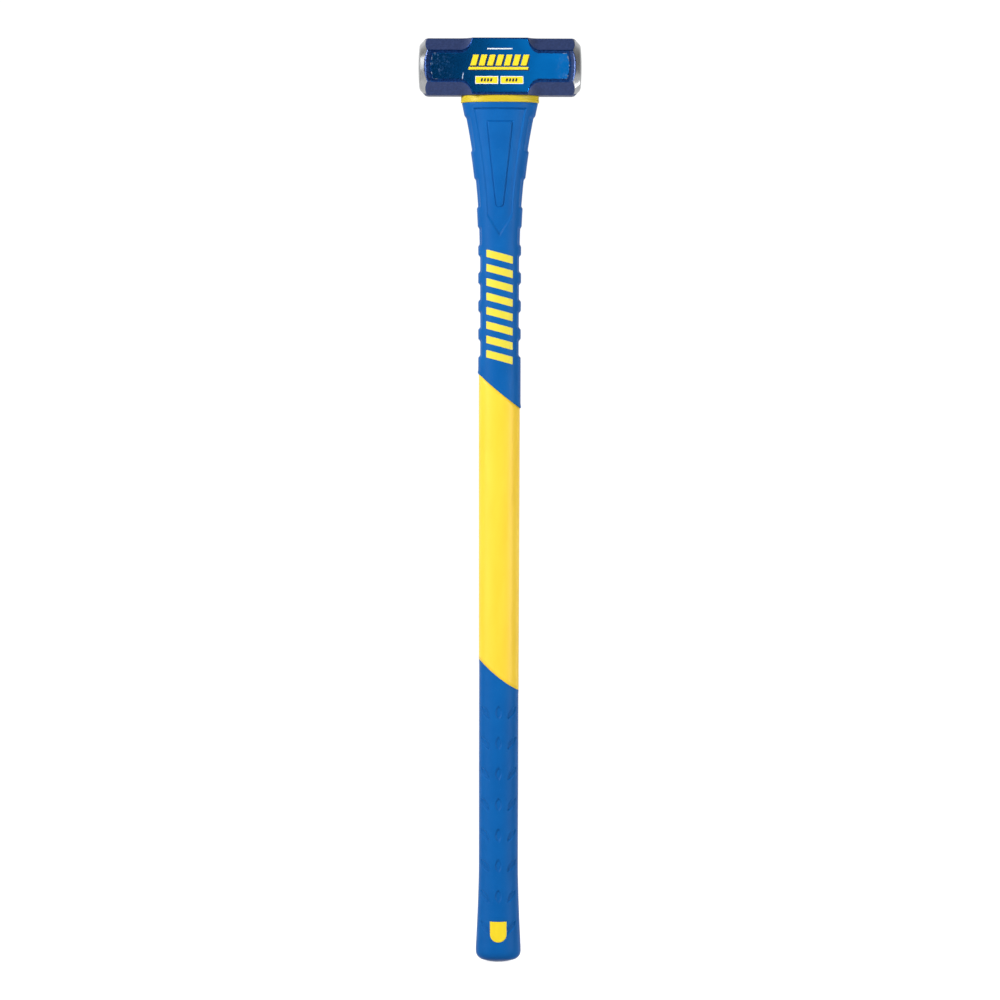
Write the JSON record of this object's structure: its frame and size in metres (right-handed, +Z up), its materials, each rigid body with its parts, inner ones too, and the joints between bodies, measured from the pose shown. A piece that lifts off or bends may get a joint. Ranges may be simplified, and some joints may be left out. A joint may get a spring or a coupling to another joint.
{
  "type": "sledgehammer",
  "caption": "Two-handed sledgehammer: octagonal forged head with crowned striking faces on a long oval fibreglass handle with soft blue sleeves over a yellow jacket.",
  "frame": {"origin": "lowest point of the butt, on the handle's axis", "axes": "+Z up the handle to the head, +X along the head from face to face, -Y the front"},
  "size_m": [0.162, 0.0492, 0.915],
  "materials": {
    "head_steel": "gloss",
    "epoxy": "gloss",
    "seal_rubber": "matte",
    "fibreglass": "satin",
    "yellow_plastic": "satin",
    "blue_soft": "matte",
    "label_print": "gloss"
  },
  "bodies": {
    "root": {"head": "head_steel", "eye_epoxy": "epoxy", "eye_seal": "seal_rubber", "fibreglass_core": "fibreglass", "handle_jacket": "yellow_plastic", "shoulder_collar": "yellow_plastic", "overstrike_sleeve": "blue_soft", "sleeve_inlay_front": "yellow_plastic", "sleeve_inlay_back": "yellow_plastic", "grip_sleeve": "blue_soft", "butt_window_front": "yellow_plastic", "butt_window_back": "yellow_plastic", "cheek_label_front": "label_print", "cheek_label_back": "label_print"}
  },
  "joints": []
}
